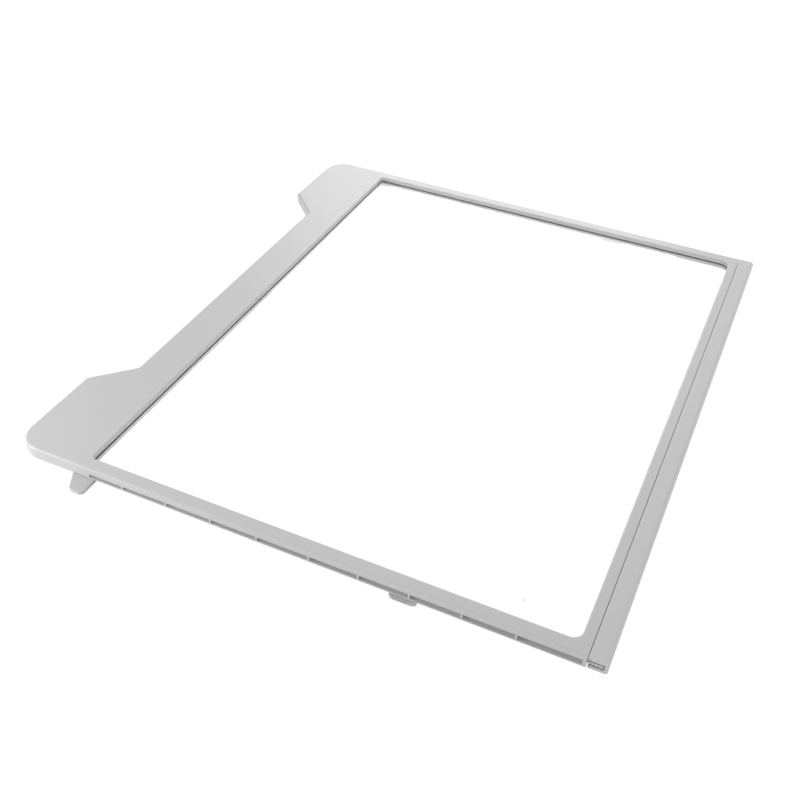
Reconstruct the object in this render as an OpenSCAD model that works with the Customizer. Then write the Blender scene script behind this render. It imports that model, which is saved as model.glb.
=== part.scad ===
// Sliding glass shelf for an upright refrigerator
// A moulded frame holds a glass panel, and a trim strip clips over the frame's front tongue.
// X runs across the shelf, the front trim faces -Y, the rear ears point to +Y, and Z is up.
// The origin is at the middle of the footprint, level with the underside of the side lugs.

/* [Overall] */
// Width across the two side rails
shelf_w = 450; // [390:1:560]
// Height of the moulded frame, from its underside to its top face
body_h = 9; // [8.6:0.1:12]

/* [Depths from front to rear] */
// Depth of the clip-on front trim
trim_d = 11.7; // [10.5:0.1:16]
// Gap at the seam between the trim and the frame
seam_gap = 0.3; // [0.15:0.05:0.5]
// Depth of the frame's front rail
front_rail_d = 6.8; // [6.2:0.1:12]
// Depth of the window
window_d = 322.9; // [310:0.1:420]
// Depth of the rear band, from the window to the notch
rear_band_d = 29.3; // [24:0.1:50]
// How far the two ears reach past the rear band
ear_d = 25.2; // [21:0.1:40]

/* [Side rails] */
// Width of each side rail on top
rail_w = 9.9; // [9.3:0.1:16]
// Depth of the open channel in each rail's outer side
channel_d = 3.7; // [2:0.1:4]
// Length of the channel
channel_len = 323.4; // [290:0.1:326]
// Wall that closes the channel at the front
channel_end_t = 2; // [1.2:0.1:4]
// Flange above the channel, at its front end
channel_roof_front_t = 2.9; // [2.2:0.1:4.5]
// Flange above the channel, at its rear end
channel_roof_rear_t = 4.8; // [2.2:0.1:5.2]
// Flange below the channel
channel_floor_t = 1.8; // [1.2:0.1:2.2]
// Thickness of the upright ribs in the channel
channel_rib_t = 1.2; // [0.8:0.1:3]
// Distance from one channel rib to the next
channel_rib_pitch = 32.2; // [20:0.1:60]
// Wider bay between the two middle channel ribs
channel_mid_bay = 35.4; // [20:0.1:60]
// How far the ribs stand back from the rail's outer face
channel_rib_set_back = 0.3; // [0.1:0.1:1]
// No rib stands nearer than this to an end of the channel
channel_rib_margin = 12; // [4:0.5:20]

/* [Ears and notch] */
// Width of each ear along its rear edge
ear_tip_w = 74.4; // [50:0.1:90]
// Width of each ear where it leaves the rear band
ear_base_w = 100.2; // [92:0.1:140]
// Radius of the ears' big outer corners
ear_corner_r = 17; // [6:0.5:19]

/* [Rim and window] */
// Height of the rim above the glass
rim_h = 3.2; // [2.2:0.1:3.4]
// Radius of the window's two front corners
window_front_r = 6.5; // [3:0.5:12]
// Radius of the window's two rear corners
window_rear_r = 2.5; // [1.5:0.5:10]
// Rounding of the frame's outer top edge
outer_edge_r = 2; // [0.5:0.1:2.1]
// Rounding of the frame's outer bottom edge
foot_edge_r = 1.2; // [0.4:0.1:1.6]
// Rounding of the window's top edge
window_edge_r = 1; // [0.3:0.1:1.5]

/* [Glass panel] */
// Thickness of the tempered glass
glass_t = 3.2; // [3:0.1:3.5]
// How far the glass reaches into the frame on each side
glass_bite = 4; // [2.5:0.1:4.2]
// Clearance between the glass edge and the bottom of its groove
glass_edge_gap = 0.3; // [0.1:0.05:0.4]
// Radius of the glass panel's corners
glass_corner_r = 3; // [1.5:0.5:8]

/* [Underside] */
// Thickness of the rear band's top wall
band_top_t = 2.4; // [1.6:0.1:4]
// Thickness of the walls round the rear band and the ears
skirt_t = 2; // [1.4:0.1:2.8]
// Thickness of the ribs under the rear band and the ears
band_rib_t = 1.4; // [0.8:0.1:2.5]
// Distance from one band rib to the next
band_rib_pitch = 41; // [24:0.5:44]
// Diameter of the boss in each outermost pocket of the band
boss_dia = 8; // [5:0.5:12]
// Distance of the bosses from the frame's outer sides
boss_from_side = 22.5; // [12:0.5:30]
// Distance of the bosses from the window
boss_from_window = 11.1; // [9:0.1:16]

/* [Side lugs] */
// Thickness of the lugs, which stand below the frame
lug_t = 2.6; // [1.8:0.1:5]
// How far the lugs' roots reach in under the rails
lug_root = 9; // [6:0.1:9.2]
// How far the rear tongues reach out past the rails
tongue_reach = 12.3; // [6:0.1:18]
// Width of each tongue at its root
tongue_root_w = 16; // [13:0.1:24]
// Width of each tongue at its tip
tongue_tip_w = 9.5; // [8:0.1:12.5]
// Radius of each tongue's tip corners
tongue_corner_r = 3; // [1:0.1:3.5]
// Start of each tongue ahead of the window's rear edge
tongue_set = 7.3; // [2:0.1:40]
// How far the stop nubs reach out past the rails
nub_reach = 2.7; // [1.9:0.1:5]
// Length of each nub at its root
nub_root_w = 17; // [15:0.1:30]
// Length of each nub at its tip
nub_tip_w = 7.5; // [4:0.1:8.5]
// Length of each nub's front ramp
nub_ramp = 6; // [2:0.1:6.4]
// Radius where a nub's ramps meet its tip
nub_corner_r = 1.5; // [0.5:0.1:3]
// Start of each nub behind the window's front edge
nub_set = 92.6; // [20:0.1:220]
// Upright edge of each nub above its bevel
nub_edge = 0.6; // [0.3:0.1:1.2]
// Width of the bevel under each nub
nub_bevel = 1.6; // [0.5:0.1:1.7]

/* [Front trim] */
// How much shorter the trim is than the frame at each end
trim_end_inset = 1; // [0.2:0.1:4]
// Thickness of the trim's top wall
trim_top_t = 2.6; // [1.6:0.1:2.9]
// Thickness of the trim's front wall
trim_front_t = 2.2; // [1.4:0.1:3]
// Thickness of the trim's lower wall
trim_lower_t = 2; // [1.4:0.1:2.2]
// How far the lower wall stops short of the trim's rear edge
trim_lower_cut = 0.5; // [0.1:0.1:2]
// Radius of the trim's upper front edge
trim_brow_r = 2.5; // [1:0.1:3]
// Radius of the trim's lower front edge
trim_foot_r = 2; // [1:0.1:3]
// Radius of the trim's long edges at the seam
trim_seam_r = 0.4; // [0.2:0.1:0.6]

/* [Tongue under the trim] */
// Thickness of the long tongue that the trim clips over
clip_t = 1.6; // [1.2:0.1:1.8]
// Clearance between the tongue and the trim's top wall
clip_roof_gap = 1.7; // [0.6:0.1:1.8]
// Clearance between the tongue's nose and the trim's front wall
clip_nose_gap = 0.4; // [0.2:0.1:1]
// How far the tongue stands back from each end of the trim
clip_end_inset = 0.6; // [0.2:0.1:4]
// Clearance between the barbs and the trim's lower wall
barb_gap = 0.2; // [0.1:0.05:0.3]
// Length of each barb, from front to rear
barb_w = 1.5; // [0.8:0.1:1.8]
// Distance from one barb to the next
barb_pitch = 2.3; // [2:0.1:2.5]

/* [Hidden] */
// Sides of a full circle in the preview
$fn = 64;
// Cutting shapes run past a face by this much
past = 0.5;
// Pieces of one moulding run into each other by this much
weld = 0.4;
// The ears run this far into the rear band
ear_weld = 6;
// Number of barbs under the tongue
barb_count = 3;

// Places from front to rear
depth = trim_d + seam_gap + front_rail_d + window_d + rear_band_d + ear_d;
y_trim = -depth / 2;
y_seam = y_trim + trim_d;
y_frame = y_seam + seam_gap;
y_win_front = y_frame + front_rail_d;
y_win_rear = y_win_front + window_d;
y_notch = y_win_rear + rear_band_d;
y_ears = y_notch + ear_d;
y_channel = y_frame + channel_end_t;
y_channel_rear = y_channel + channel_len;

// Places from side to side
half_w = shelf_w / 2;
win_half_w = half_w - rail_w;
trim_half_w = half_w - trim_end_inset;
clip_half_w = trim_half_w - clip_end_inset;

// Heights
z_foot = lug_t;
z_top = z_foot + body_h;
z_glass = z_top - rim_h - glass_t;
z_channel = z_foot + channel_floor_t;
trim_roof_z = z_top - trim_top_t;
trim_floor_z = z_foot + trim_lower_t;
clip_z = trim_roof_z - clip_roof_gap - clip_t / 2;

// Depth of the glass groove, and where the pockets behind it start
groove_bite = glass_bite + glass_edge_gap;
y_pocket = y_win_rear + groove_bite + skirt_t;
// Centre of the round nose of the long tongue
y_nose = y_trim + trim_front_t + clip_nose_gap + clip_t / 2;
// Places of the ribs in the side channels, and of the cross ribs under the band
channel_rib_ys = [
  for (side = [-1, 1], k = [0 : ceil(channel_len / channel_rib_pitch)])
    let (y = side * (channel_mid_bay / 2 + k * channel_rib_pitch))
      if (y > y_channel + channel_rib_margin && y < y_channel_rear - channel_rib_margin) y
];
band_rib_xs = [
  for (side = [-1, 1], x = [band_rib_pitch / 2 : band_rib_pitch : half_w - 2 * boss_dia])
    side * x
];

// Paths run anticlockwise, as a list of [corner, radius]
function box_path(x0, x1, y0, y1, front_r, rear_r) = [
  [[x0, y0], front_r],
  [[x1, y0], front_r],
  [[x1, y1], rear_r],
  [[x0, y1], rear_r]
];
// The whole frame without its window
function frame_path() = [
  [[-half_w, y_frame], 0],
  [[half_w, y_frame], 0],
  [[half_w, y_ears], ear_corner_r],
  [[half_w - ear_tip_w, y_ears], 0],
  [[half_w - ear_base_w, y_notch], 0],
  [[ear_base_w - half_w, y_notch], 0],
  [[ear_tip_w - half_w, y_ears], 0],
  [[-half_w, y_ears], ear_corner_r]
];
// One ear with its root in the rear band. Its slanted edge runs on straight into the root.
function ear_path() = let (slope = (ear_base_w - ear_tip_w) / ear_d) [
  [[half_w - ear_base_w - slope * ear_weld, y_notch - ear_weld], 0],
  [[half_w, y_notch - ear_weld], 0],
  [[half_w, y_ears], ear_corner_r],
  [[half_w - ear_tip_w, y_ears], 0]
];
// One side of the frame, round the ear's big corner and on to the middle
function side_path() = [
  [[half_w, y_frame - past], 0],
  [[half_w, y_ears], ear_corner_r],
  [[0, y_ears], 0]
];
function window_path() =
  box_path(-win_half_w, win_half_w, y_win_front, y_win_rear, window_front_r, window_rear_r);
// The window's outline grown on all four sides, as the glass and its groove are
function grown_path(bite, r) =
  box_path(-win_half_w - bite, win_half_w + bite, y_win_front - bite, y_win_rear + bite, r, r);
function tongue_path() = let (y0 = y_win_rear - tongue_set) [
  [[half_w - lug_root, y0], 0],
  [[half_w + tongue_reach, y0], tongue_corner_r],
  [[half_w + tongue_reach, y0 + tongue_tip_w], tongue_corner_r],
  [[half_w, y0 + tongue_root_w], 0],
  [[half_w - lug_root, y0 + tongue_root_w], 0]
];
function nub_path() = let (y0 = y_win_front + nub_set) [
  [[half_w - lug_root, y0], 0],
  [[half_w, y0], 0],
  [[half_w + nub_reach, y0 + nub_ramp], nub_corner_r],
  [[half_w + nub_reach, y0 + nub_ramp + nub_tip_w], nub_corner_r],
  [[half_w, y0 + nub_root_w], 0],
  [[half_w - lug_root, y0 + nub_root_w], 0]
];
// Section of the trim's outer skin, seen along X
function trim_path() = [
  [[y_trim, z_foot], trim_foot_r],
  [[y_seam, z_foot], trim_seam_r],
  [[y_seam, z_top], trim_seam_r],
  [[y_trim, z_top], trim_brow_r]
];

// Geometry of a path: its corners, headings and arcs
function corner(path, i) = path[(i + len(path)) % len(path)];
function heading(path, i) =
  let (v = corner(path, i + 1)[0] - corner(path, i)[0]) v / norm(v);
function left_of(v) = [-v.y, v.x];
// Signed turn at a corner: positive where the path bends to the left
function bend(path, i) = let (a = heading(path, i - 1), b = heading(path, i))
  atan2(cross(a, b), a * b);
function setback(path, i) = corner(path, i)[1] * tan(abs(bend(path, i)) / 2);
function arc_start(path, i) = corner(path, i)[0] - heading(path, i - 1) * setback(path, i);
function arc_end(path, i) = corner(path, i)[0] + heading(path, i) * setback(path, i);
function arc_centre(path, i) = arc_start(path, i)
  + left_of(heading(path, i - 1)) * corner(path, i)[1] * sign(bend(path, i));
// The same path with each edge moved inward, so that a wall keeps its thickness
function inset_path(path, wall) = [
  for (i = [0 : len(path) - 1])
    let (a = left_of(heading(path, i - 1)), b = left_of(heading(path, i)))
      [corner(path, i)[0] + (a + b) * wall / (1 + a * b), max(0, corner(path, i)[1] - wall)]
];
function reversed(path) = [for (i = [len(path) - 1 : -1 : 0]) path[i]];

// Flat area inside a path, with its outward corners as true arcs
module area(path) {
  last = len(path) - 1;
  polygon([
    for (i = [0 : last])
      each corner(path, i)[1] > 0 ? [arc_start(path, i), arc_end(path, i)] : [corner(path, i)[0]]
  ]);
  for (i = [0 : last])
    if (corner(path, i)[1] > 0) translate(arc_centre(path, i)) circle(corner(path, i)[1]);
}

// Section of the waste outside a rounded edge. X runs into the material, and Y is up.
module edge_waste(r) {
  difference() {
    translate([-past, -r]) square([r + past, r + past]);
    translate([r, -r]) circle(r);
  }
}

// Waste along one straight edge, with the material on its left
module straight_waste(start, end, r) {
  aim = atan2(end.y - start.y, end.x - start.x);
  translate(start) rotate([90, 0, aim + 90]) linear_extrude(norm(end - start)) edge_waste(r);
}

// Waste round the arc at a corner of a path, with the material on the path's left
module corner_waste(path, i, r) {
  outward = bend(path, i) > 0;
  aim = atan2(heading(path, i - 1).y, heading(path, i - 1).x);
  translate(arc_centre(path, i)) rotate(outward ? aim - 90 : aim + 90 + bend(path, i))
    rotate_extrude(angle = abs(bend(path, i)))
      translate([corner(path, i)[1], 0]) mirror([outward ? 1 : 0, 0]) edge_waste(r);
}

// Waste along a path from its first corner to the one with the index last
module path_waste(path, r, last) {
  for (i = [0 : last - 1])
    straight_waste(arc_end(path, i), arc_start(path, i + 1), r);
  for (i = [1 : last])
    if (corner(path, i)[1] > 0) corner_waste(path, i, r);
}

module both_sides() {
  children();
  mirror([1, 0, 0]) children();
}

// Turns a section drawn as [Y, Z] into a length along X
module along_x(length) {
  rotate([90, 0, 90]) linear_extrude(length) children();
}

// Side view of the channel, which gets lower towards the rear. spread sinks it into its flanges.
module channel_side(spread = 0) {
  polygon([
    [y_channel, z_channel - spread],
    [y_channel_rear, z_channel - spread],
    [y_channel_rear, z_top - channel_roof_rear_t + spread],
    [y_channel, z_top - channel_roof_front_t + spread]
  ]);
}

module channel_space() {
  translate([half_w - channel_d, 0, 0]) along_x(channel_d + past) channel_side();
}

module channel_ribs() {
  translate([half_w - channel_d - weld, 0, 0]) along_x(channel_d + weld - channel_rib_set_back)
    intersection() {
      channel_side(weld);
      for (y = channel_rib_ys)
        translate([y - channel_rib_t / 2, z_foot]) square([channel_rib_t, body_h]);
    }
}

// Open pockets under the rear band and the ears, between the skirt and the ribs
module band_pockets() {
  translate([0, 0, z_foot - past]) linear_extrude(body_h - band_top_t + past)
    difference() {
      intersection() {
        area(inset_path(frame_path(), skirt_t));
        translate([-half_w, y_pocket]) square([shelf_w, y_ears - y_pocket]);
      }
      translate([-half_w, y_notch - skirt_t]) square([shelf_w, skirt_t]);
      for (x = band_rib_xs)
        translate([x - band_rib_t / 2, y_pocket - past]) square([band_rib_t, y_ears - y_pocket]);
      for (side = [-1, 1])
        translate([side * (half_w - boss_from_side), y_win_rear + boss_from_window])
          circle(d = boss_dia);
    }
}

// Long tongue at the front of the frame, with barbs that hold the trim
module clip_tongue() {
  under = clip_z - clip_t / 2;
  drop = under - trim_floor_z - barb_gap;
  translate([-clip_half_w, 0, 0]) along_x(2 * clip_half_w) {
    translate([y_nose, clip_z]) circle(d = clip_t);
    translate([y_nose, under]) square([y_frame + weld - y_nose, clip_t]);
    for (k = [0 : barb_count - 1])
      translate([y_nose + k * barb_pitch, under])
        polygon([[0, 0], [barb_w, -drop], [barb_w, weld], [0, weld]]);
  }
}

// Flat tongue that reaches out under the rear of each rail
module rear_tongue() {
  linear_extrude(lug_t) area(tongue_path());
  lug_weld(y_win_rear - tongue_set, tongue_root_w);
}

// Stop nub under the middle of each rail, ramped at both ends and bevelled below
module stop_nub() {
  tip = half_w + nub_reach;
  intersection() {
    linear_extrude(lug_t) area(nub_path());
    translate([0, y_win_front + nub_set + nub_root_w, 0]) rotate([90, 0, 0])
      linear_extrude(nub_root_w) polygon([
        [half_w - lug_root, 0],
        [tip - nub_bevel, 0],
        [tip, lug_t - nub_edge],
        [tip, lug_t],
        [half_w - lug_root, lug_t]
      ]);
  }
  lug_weld(y_win_front + nub_set, nub_root_w);
}

// Root that joins a lug to the underside of its rail
module lug_weld(y0, width) {
  translate([half_w - lug_root, y0, z_foot - weld])
    cube([lug_root - foot_edge_r, width, 2 * weld]);
}

// Rounds an edge of the frame at its top and at its foot
module at_top_and_foot() {
  translate([0, 0, z_top]) children(0);
  translate([0, 0, z_foot]) mirror([0, 0, 1]) children(1);
}

// One ear, rounded along its slanted edge only
module ear() {
  path = ear_path();
  reach = heading(path, 3) * 2 * past;
  difference() {
    translate([0, 0, z_foot]) linear_extrude(body_h) area(path);
    at_top_and_foot() {
      straight_waste(path[3][0] - reach, path[0][0] + reach, outer_edge_r);
      straight_waste(path[3][0] - reach, path[0][0] + reach, foot_edge_r);
    }
  }
}

// Plate between the ears, rounded along its rear edge only
module plate() {
  start = [half_w + past, y_notch];
  end = [-half_w - past, y_notch];
  difference() {
    translate([-half_w, y_frame, z_foot]) cube([shelf_w, y_notch - y_frame, body_h]);
    at_top_and_foot() {
      straight_waste(start, end, outer_edge_r);
      straight_waste(start, end, foot_edge_r);
    }
  }
}

module shelf_frame() {
  color([0.76, 0.76, 0.76]) {
    difference() {
      union() {
        plate();
        both_sides() ear();
      }
      both_sides() at_top_and_foot() {
        path_waste(side_path(), outer_edge_r, 2);
        path_waste(side_path(), foot_edge_r, 2);
      }
      translate([0, 0, z_foot - past]) linear_extrude(body_h + 2 * past) area(window_path());
      translate([0, 0, z_top]) path_waste(reversed(window_path()), window_edge_r, 4);
      translate([0, 0, z_glass]) linear_extrude(glass_t)
        area(grown_path(groove_bite, glass_corner_r + glass_edge_gap));
      both_sides() channel_space();
      band_pockets();
    }
    both_sides() channel_ribs();
    both_sides() rear_tongue();
    both_sides() stop_nub();
    clip_tongue();
  }
}

module glass_panel() {
  color([0.88, 0.95, 0.93, 0.4])
    translate([0, 0, z_glass]) linear_extrude(glass_t) area(grown_path(glass_bite, glass_corner_r));
}

module front_trim() {
  color([0.78, 0.78, 0.79])
    translate([-trim_half_w, 0, 0]) along_x(2 * trim_half_w)
      difference() {
        area(trim_path());
        translate([y_trim + trim_front_t, trim_floor_z])
          square([trim_d, trim_roof_z - trim_floor_z]);
        translate([y_seam - trim_lower_cut, z_foot - past])
          square([trim_d, trim_floor_z - z_foot + 2 * past]);
      }
}

shelf_frame();
glass_panel();
front_trim();
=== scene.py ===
"""Studio picture of a sliding refrigerator shelf: glass in a moulded frame, with a clip-on front trim."""

import logging
import math
from dataclasses import dataclass
from enum import Enum

import bpy
from mathutils import Matrix, Vector


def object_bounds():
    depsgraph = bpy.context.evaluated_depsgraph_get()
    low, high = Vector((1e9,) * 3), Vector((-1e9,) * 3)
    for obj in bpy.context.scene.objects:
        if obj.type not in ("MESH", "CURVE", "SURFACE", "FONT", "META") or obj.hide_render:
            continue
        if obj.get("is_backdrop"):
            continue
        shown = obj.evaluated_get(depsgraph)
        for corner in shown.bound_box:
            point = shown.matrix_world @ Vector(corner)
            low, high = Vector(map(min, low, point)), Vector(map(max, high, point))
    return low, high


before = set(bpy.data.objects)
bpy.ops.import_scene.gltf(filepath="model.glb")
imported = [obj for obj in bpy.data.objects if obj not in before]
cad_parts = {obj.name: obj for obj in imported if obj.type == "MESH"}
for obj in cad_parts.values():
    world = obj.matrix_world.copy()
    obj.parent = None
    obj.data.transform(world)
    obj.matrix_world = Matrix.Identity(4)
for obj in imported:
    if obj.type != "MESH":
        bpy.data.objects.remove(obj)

LOG = logging.getLogger("shelf")
MM = 0.001

Colour = tuple[float, float, float]
Point = tuple[float, float, float]


class Node(Enum):
    """The shelf's solid pieces, by the names they have in the frame."""

    FRAME = "shelf_frame"
    GLASS = "glass_panel"
    TRIM = "front_trim"


class NodeTree:
    """Small helper that adds and links shader nodes in one material."""

    def __init__(self, name: str) -> None:
        """Starts an empty material.

        Args:
            name: The material's name.
        """
        self.material = bpy.data.materials.new(name)
        self.material.use_nodes = True
        self.tree = self.material.node_tree
        self.tree.nodes.clear()
        self.output = self.add("ShaderNodeOutputMaterial")

    def add(self, kind: str, **settings: object) -> bpy.types.Node:
        """Adds one node.

        Args:
            kind: Blender's name for the kind of node.
            **settings: Properties to set on the node.

        Returns:
            The new node.
        """
        node = self.tree.nodes.new(kind)
        for key, value in settings.items():
            setattr(node, key, value)
        return node

    def link(self, source: bpy.types.NodeSocket, target: bpy.types.NodeSocket) -> None:
        """Links one socket to another."""
        self.tree.links.new(source, target)

    def feed(self, socket: bpy.types.NodeSocket, value: object) -> None:
        """Puts a number, a colour or another node's socket into a socket.

        Args:
            socket: The input to fill.
            value: A plain value, or the output socket to link from.
        """
        if isinstance(value, bpy.types.NodeSocket):
            self.link(value, socket)
        else:
            socket.default_value = value

    def math(self, operation: str, *values: object) -> bpy.types.NodeSocket:
        """Adds a Math node.

        Args:
            operation: Name of the operation, such as MULTIPLY.
            *values: Numbers or sockets for its inputs.

        Returns:
            The node's output.
        """
        node = self.add("ShaderNodeMath", operation=operation)
        for socket, value in zip(node.inputs, values, strict=False):
            self.feed(socket, value)
        return node.outputs[0]

    def position(self) -> bpy.types.NodeSocket:
        """Returns the surface point in the shelf's own coordinates, in metres."""
        return self.add("ShaderNodeTexCoord").outputs["Object"]

    def noise(self, scale: float, detail: float, stretch: Point = (1, 1, 1)) -> bpy.types.NodeSocket:
        """Adds solid noise over the shelf.

        Args:
            scale: Waves per metre, roughly.
            detail: Number of finer layers.
            stretch: How much each axis is squeezed before the noise is read.

        Returns:
            The noise, from 0 to 1.
        """
        squeeze = self.add("ShaderNodeVectorMath", operation="MULTIPLY")
        self.link(self.position(), squeeze.inputs[0])
        squeeze.inputs[1].default_value = stretch
        noise = self.add("ShaderNodeTexNoise")
        noise.inputs["Scale"].default_value = scale
        noise.inputs["Detail"].default_value = detail
        self.link(squeeze.outputs[0], noise.inputs["Vector"])
        return noise.outputs["Fac"]

    def spread(self, value: bpy.types.NodeSocket, low: float, high: float) -> bpy.types.NodeSocket:
        """Maps 0..1 to low..high.

        Args:
            value: The input between 0 and 1.
            low: Output at 0.
            high: Output at 1.

        Returns:
            The mapped value.
        """
        node = self.add("ShaderNodeMapRange")
        self.link(value, node.inputs["Value"])
        node.inputs["To Min"].default_value = low
        node.inputs["To Max"].default_value = high
        return node.outputs[0]


@dataclass(frozen=True)
class Dimple:
    """A shallow sink mark where a boss or rib stands under a moulded face.

    Attributes:
        centre: Middle of the mark, in metres.
        reach: Distance from the middle at which the mark has faded out, along X and Y.
    """

    centre: tuple[float, float]
    reach: tuple[float, float]

    def depth(self, tree: NodeTree) -> bpy.types.NodeSocket:
        """Returns the mark's depth, from 0 outside it to 1 in its middle.

        Args:
            tree: The material that the nodes go into.
        """
        split = tree.add("ShaderNodeSeparateXYZ")
        tree.link(tree.position(), split.inputs[0])
        parts = []
        for axis, middle, reach in zip(split.outputs, self.centre, self.reach, strict=False):
            offset = axis
            if middle > 0 and axis == split.outputs[0]:
                offset = tree.math("ABSOLUTE", axis)
            away = tree.math("DIVIDE", tree.math("SUBTRACT", offset, middle), reach)
            parts.append(tree.math("MULTIPLY", away, away))
        near = tree.math("SUBTRACT", 1.0, tree.math("ADD", *parts))
        return tree.math("MAXIMUM", near, 0.0)


@dataclass(frozen=True)
class MouldedPlastic:
    """Satin moulded plastic with a fine grain.

    Attributes:
        name: The material's name.
        colour: Base colour, linear.
        tone_swing: How far the tone drifts across the moulding.
        gloss: Lowest and highest roughness.
        grain_scale: Waves per metre of the surface grain.
        grain_stretch: How the grain is drawn out along the axes.
        grain_depth: Height of the grain in metres.
        dimples: Sink marks on the top face.
        dimple_depth: Depth of a sink mark in metres.
    """

    name: str
    colour: Colour
    tone_swing: float = 0.02
    gloss: tuple[float, float] = (0.30, 0.38)
    grain_scale: float = 2600.0
    grain_stretch: Point = (1.0, 1.0, 1.0)
    grain_depth: float = 0.000004
    dimples: tuple[Dimple, ...] = ()
    dimple_depth: float = 0.00006

    def build(self) -> bpy.types.Material:
        """Returns the material."""
        tree = NodeTree(self.name)
        shader = tree.add("ShaderNodeBsdfPrincipled")
        tree.link(shader.outputs[0], tree.output.inputs["Surface"])
        tone = tree.spread(tree.noise(9.0, 3.0), 1.0 - self.tone_swing, 1.0 + self.tone_swing)
        tint = tree.add("ShaderNodeVectorMath", operation="SCALE")
        tint.inputs[0].default_value = self.colour
        tree.link(tone, tint.inputs["Scale"])
        tree.link(tint.outputs[0], shader.inputs["Base Color"])
        tree.link(tree.spread(tree.noise(60.0, 4.0), *self.gloss), shader.inputs["Roughness"])
        shader.inputs["IOR"].default_value = 1.49
        tree.link(self.relief(tree), shader.inputs["Normal"])
        return tree.material

    def relief(self, tree: NodeTree) -> bpy.types.NodeSocket:
        """Returns the normal with the grain and the sink marks in it.

        Args:
            tree: The material that the nodes go into.
        """
        grain = tree.noise(self.grain_scale, 2.0, self.grain_stretch)
        height = tree.math("MULTIPLY", grain, self.grain_depth)
        for dimple in self.dimples:
            sunk = tree.math("MULTIPLY", dimple.depth(tree), self.dimple_depth)
            height = tree.math("SUBTRACT", height, sunk)
        bump = tree.add("ShaderNodeBump")
        bump.inputs["Distance"].default_value = 1.0
        tree.link(height, bump.inputs["Height"])
        return bump.outputs[0]


@dataclass(frozen=True)
class ClearGlass:
    """Polished clear glass with one small dark speck.

    Attributes:
        name: The material's name.
        colour: Tint of the light that goes through.
        speck_at: Middle of the speck, in metres.
        speck_reach: Half its length along X and Y.
        speck_colour: Colour of the speck.
    """

    name: str
    colour: Colour
    speck_at: tuple[float, float]
    speck_reach: tuple[float, float]
    speck_colour: Colour

    def build(self) -> bpy.types.Material:
        """Returns the material."""
        tree = NodeTree(self.name)
        glass = tree.add("ShaderNodeBsdfPrincipled")
        glass.inputs["Base Color"].default_value = (*self.colour, 1.0)
        glass.inputs["Transmission Weight"].default_value = 1.0
        glass.inputs["IOR"].default_value = 1.52
        tree.link(tree.spread(tree.noise(25.0, 3.0), 0.0, 0.012), glass.inputs["Roughness"])
        clear = tree.add("ShaderNodeBsdfTransparent")
        lets_light = tree.add("ShaderNodeMixShader")
        tree.link(tree.add("ShaderNodeLightPath").outputs["Is Shadow Ray"], lets_light.inputs[0])
        tree.link(glass.outputs[0], lets_light.inputs[1])
        tree.link(clear.outputs[0], lets_light.inputs[2])
        speck = tree.add("ShaderNodeBsdfPrincipled")
        speck.inputs["Base Color"].default_value = (*self.speck_colour, 1.0)
        speck.inputs["Roughness"].default_value = 0.8
        spot = Dimple(self.speck_at, self.speck_reach).depth(tree)
        ragged = tree.math("MULTIPLY", spot, tree.spread(tree.noise(1500.0, 2.0), 0.6, 2.4))
        top = tree.math("GREATER_THAN", ragged, 0.5)
        with_speck = tree.add("ShaderNodeMixShader")
        tree.link(top, with_speck.inputs[0])
        tree.link(lets_light.outputs[0], with_speck.inputs[1])
        tree.link(speck.outputs[0], with_speck.inputs[2])
        tree.link(with_speck.outputs[0], tree.output.inputs["Surface"])
        return tree.material


@dataclass(frozen=True)
class WhiteFloor:
    """Pale floor that the camera sees as white, with the shelf's soft shadow on it.

    Attributes:
        name: The material's name.
        bounce: Grey level that lights the shelf from below.
        glow: Part of the white that no shadow takes away.
        shade: Part of the white that a shadow takes away.
    """

    name: str
    bounce: float
    glow: float
    shade: float

    def build(self) -> bpy.types.Material:
        """Returns the material."""
        tree = NodeTree(self.name)
        plain = tree.add("ShaderNodeBsdfDiffuse")
        plain.inputs["Color"].default_value = (self.bounce, self.bounce, self.bounce, 1.0)
        seen = tree.add("ShaderNodeAddShader")
        glow = tree.add("ShaderNodeEmission")
        glow.inputs["Color"].default_value = (self.glow, self.glow, self.glow, 1.0)
        shade = tree.add("ShaderNodeBsdfDiffuse")
        shade.inputs["Color"].default_value = (self.shade, self.shade, self.shade, 1.0)
        tree.link(glow.outputs[0], seen.inputs[0])
        tree.link(shade.outputs[0], seen.inputs[1])
        choose = tree.add("ShaderNodeMixShader")
        tree.link(seen_directly(tree), choose.inputs[0])
        tree.link(plain.outputs[0], choose.inputs[1])
        tree.link(seen.outputs[0], choose.inputs[2])
        tree.link(choose.outputs[0], tree.output.inputs["Surface"])
        return tree.material


def seen_directly(tree: NodeTree) -> bpy.types.NodeSocket:
    """Returns 1 for what the camera sees straight, in a gloss or through glass.

    Args:
        tree: The material or world that the nodes go into.
    """
    path = tree.add("ShaderNodeLightPath")
    kinds = ("Is Camera Ray", "Is Glossy Ray", "Is Transmission Ray")
    seen = path.outputs[kinds[0]]
    for kind in kinds[1:]:
        seen = tree.math("MAXIMUM", seen, path.outputs[kind])
    return seen


@dataclass
class SolidPiece:
    """One of the shelf's solid pieces, which keeps its own mesh and gets a finish.

    Attributes:
        node: Which piece it is.
        finish: Its finish.
    """

    node: Node
    finish: MouldedPlastic | ClearGlass

    def dress(self) -> bpy.types.Object:
        """Gives the piece its finish.

        Returns:
            The piece's object.
        """
        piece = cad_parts[self.node.value]
        material = self.finish.build()
        for slot in piece.material_slots:
            slot.material = material
        LOG.info("%s is finished in %s", self.node.value, material.name)
        return piece


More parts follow.
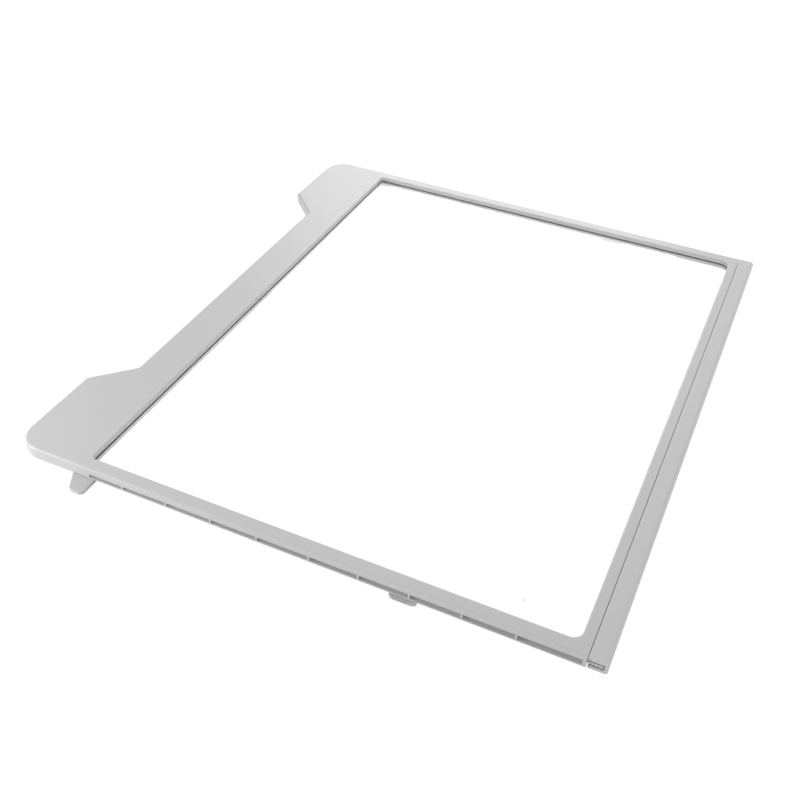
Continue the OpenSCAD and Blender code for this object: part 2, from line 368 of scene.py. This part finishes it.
@dataclass
class Softbox:
    """A square soft lamp.

    Attributes:
        name: The lamp's name.
        place: Where it hangs, in metres.
        aim: The point it faces.
        side: Length of each side.
        power: Power in watts.
        colour: Colour of its light.
    """

    name: str
    place: Point
    aim: Point
    side: float
    power: float
    colour: Colour = (1.0, 1.0, 1.0)

    def build(self) -> bpy.types.Object:
        """Returns the lamp's object, linked into the scene."""
        data = bpy.data.lights.new(self.name, "AREA")
        data.shape = "SQUARE"
        data.size = self.side
        data.energy = self.power
        data.color = self.colour
        lamp = bpy.data.objects.new(self.name, data)
        lamp.location = self.place
        towards = Vector(self.aim) - Vector(self.place)
        lamp.rotation_euler = towards.to_track_quat("-Z", "Y").to_euler()
        bpy.context.scene.collection.objects.link(lamp)
        return lamp


@dataclass
class Studio:
    """White floor, even world light and soft lamps.

    Attributes:
        floor_side: Length of the floor's sides in metres.
        world_level: Strength of the even light from all round.
        lamps: The soft lamps.
    """

    floor_side: float = 12.0
    world_level: float = 0.47
    lamps: tuple[Softbox, ...] = (
        Softbox("rear_left_low", (-0.45, 0.50, 0.20), (-0.22, 0.1, 0.0), 0.3, 1.5),
        Softbox("left_fill", (-1.0, -0.1, 0.2), (-0.2, 0.0, 0.0), 0.6, 1.3),
        Softbox("front_fill", (0.3, -1.1, 0.6), (0.1, -0.1, 0.0), 0.8, 2.9),
        Softbox("far_glow", (0.65, 0.15, 0.45), (0.15, 0.0, 0.0), 0.5, 0.4, (0.98, 0.98, 1.0)),
        Softbox("far_high", (1.1, 0.35, 0.6), (0.1, 0.0, 0.0), 0.8, 4.7, (0.98, 0.98, 1.0)),
    )

    def build_floor(self) -> bpy.types.Object:
        """Returns the floor, level with the shelf's lowest point."""
        half = self.floor_side / 2
        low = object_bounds()[0].z
        mesh = bpy.data.meshes.new("floor")
        corners = [(-half, -half, low), (half, -half, low), (half, half, low), (-half, half, low)]
        mesh.from_pydata(corners, [], [(0, 1, 2, 3)])
        mesh.materials.append(WhiteFloor("floor_white", 0.8, 0.96, 0.12).build())
        floor = bpy.data.objects.new("floor", mesh)
        bpy.context.scene.collection.objects.link(floor)
        floor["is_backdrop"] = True
        return floor

    def build_world(self) -> None:
        """Makes the surroundings white to the camera and even for the light."""
        world = bpy.data.worlds.new("surroundings")
        world.use_nodes = True
        bpy.context.scene.world = world
        nodes = world.node_tree.nodes
        links = world.node_tree.links
        background = nodes["Background"]
        background.inputs["Color"].default_value = (1.0, 1.0, 1.0, 1.0)
        path = nodes.new("ShaderNodeLightPath")
        either = nodes.new("ShaderNodeMath")
        either.operation = "MAXIMUM"
        links.new(path.outputs["Is Camera Ray"], either.inputs[0])
        links.new(path.outputs["Is Transmission Ray"], either.inputs[1])
        any_seen = nodes.new("ShaderNodeMath")
        any_seen.operation = "MAXIMUM"
        links.new(either.outputs[0], any_seen.inputs[0])
        links.new(path.outputs["Is Glossy Ray"], any_seen.inputs[1])
        level = nodes.new("ShaderNodeMapRange")
        links.new(any_seen.outputs[0], level.inputs["Value"])
        level.inputs["To Min"].default_value = self.world_level
        level.inputs["To Max"].default_value = 1.0
        links.new(level.outputs[0], background.inputs["Strength"])

    def build(self) -> None:
        """Builds the floor, the world and the lamps."""
        self.build_floor()
        self.build_world()
        for lamp in self.lamps:
            lamp.build()
        LOG.info("studio has %d lamps", len(self.lamps))


@dataclass
class ProductCamera:
    """Camera that looks down on the shelf past its left rear corner.

    Attributes:
        azimuth: Direction of the view in degrees, 0 along +Y.
        elevation: Height above the horizon in degrees.
        roll: Turn about the line of sight in degrees.
        distance: Distance from the aim to the camera in metres.
        aim: The point in the middle of the picture.
        lens: Focal length in millimetres on a sensor of that width.
        sensor: Width of the sensor in millimetres.
    """

    azimuth: float = -66.846
    elevation: float = 39.577
    roll: float = 2.340
    distance: float = 0.69749
    aim: Point = (-0.07481, -0.00776, 0.0116)
    lens: float = 45.576
    sensor: float = 36.0

    def build(self) -> bpy.types.Object:
        """Returns the camera, set as the scene's own."""
        turn, rise, tilt = (math.radians(a) for a in (self.azimuth, self.elevation, self.roll))
        back = Vector((math.sin(turn) * math.cos(rise), -math.cos(turn) * math.cos(rise), math.sin(rise)))
        level = back.cross(Vector((0.0, 0.0, -1.0))).normalized()
        upright = level.cross(-back)
        right = level * math.cos(tilt) + upright * math.sin(tilt)
        up = upright * math.cos(tilt) - level * math.sin(tilt)
        data = bpy.data.cameras.new("camera")
        data.lens = self.lens
        data.sensor_width = self.sensor
        data.clip_start = 0.01
        camera = bpy.data.objects.new("camera", data)
        axes = Matrix((right, up, back)).transposed().to_4x4()
        camera.matrix_world = Matrix.Translation(Vector(self.aim) + back * self.distance) @ axes
        bpy.context.scene.collection.objects.link(camera)
        bpy.context.scene.camera = camera
        return camera


@dataclass
class Shelf:
    """The whole shelf, piece by piece."""

    def dress(self) -> list[bpy.types.Object]:
        """Finishes every piece.

        Returns:
            The pieces' objects.
        """
        frame_plastic = MouldedPlastic(
            "frame_plastic",
            (0.63, 0.63, 0.634),
            dimples=(Dimple((202.5 * MM, 154.7 * MM), (7 * MM, 7 * MM)),),
        )
        trim_plastic = MouldedPlastic(
            "trim_plastic",
            (0.65, 0.65, 0.654),
            grain_stretch=(0.1, 1.0, 1.0),
        )
        clear_glass = ClearGlass(
            "clear_glass",
            (0.995, 1.0, 0.998),
            (-199.5 * MM, -141.7 * MM),
            (0.4 * MM, 0.4 * MM),
            (0.06, 0.055, 0.05),
        )
        pieces = (
            SolidPiece(Node.FRAME, frame_plastic),
            SolidPiece(Node.TRIM, trim_plastic),
            SolidPiece(Node.GLASS, clear_glass),
        )
        return [piece.dress() for piece in pieces]


def main() -> None:
    """Builds the shelf's looks, the studio and the camera."""
    logging.basicConfig(level=logging.INFO, format="%(message)s")
    bpy.context.scene.view_settings.view_transform = "Standard"
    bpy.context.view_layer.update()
    Shelf().dress()
    Studio().build()
    ProductCamera().build()


if __name__ == "__main__":
    main()
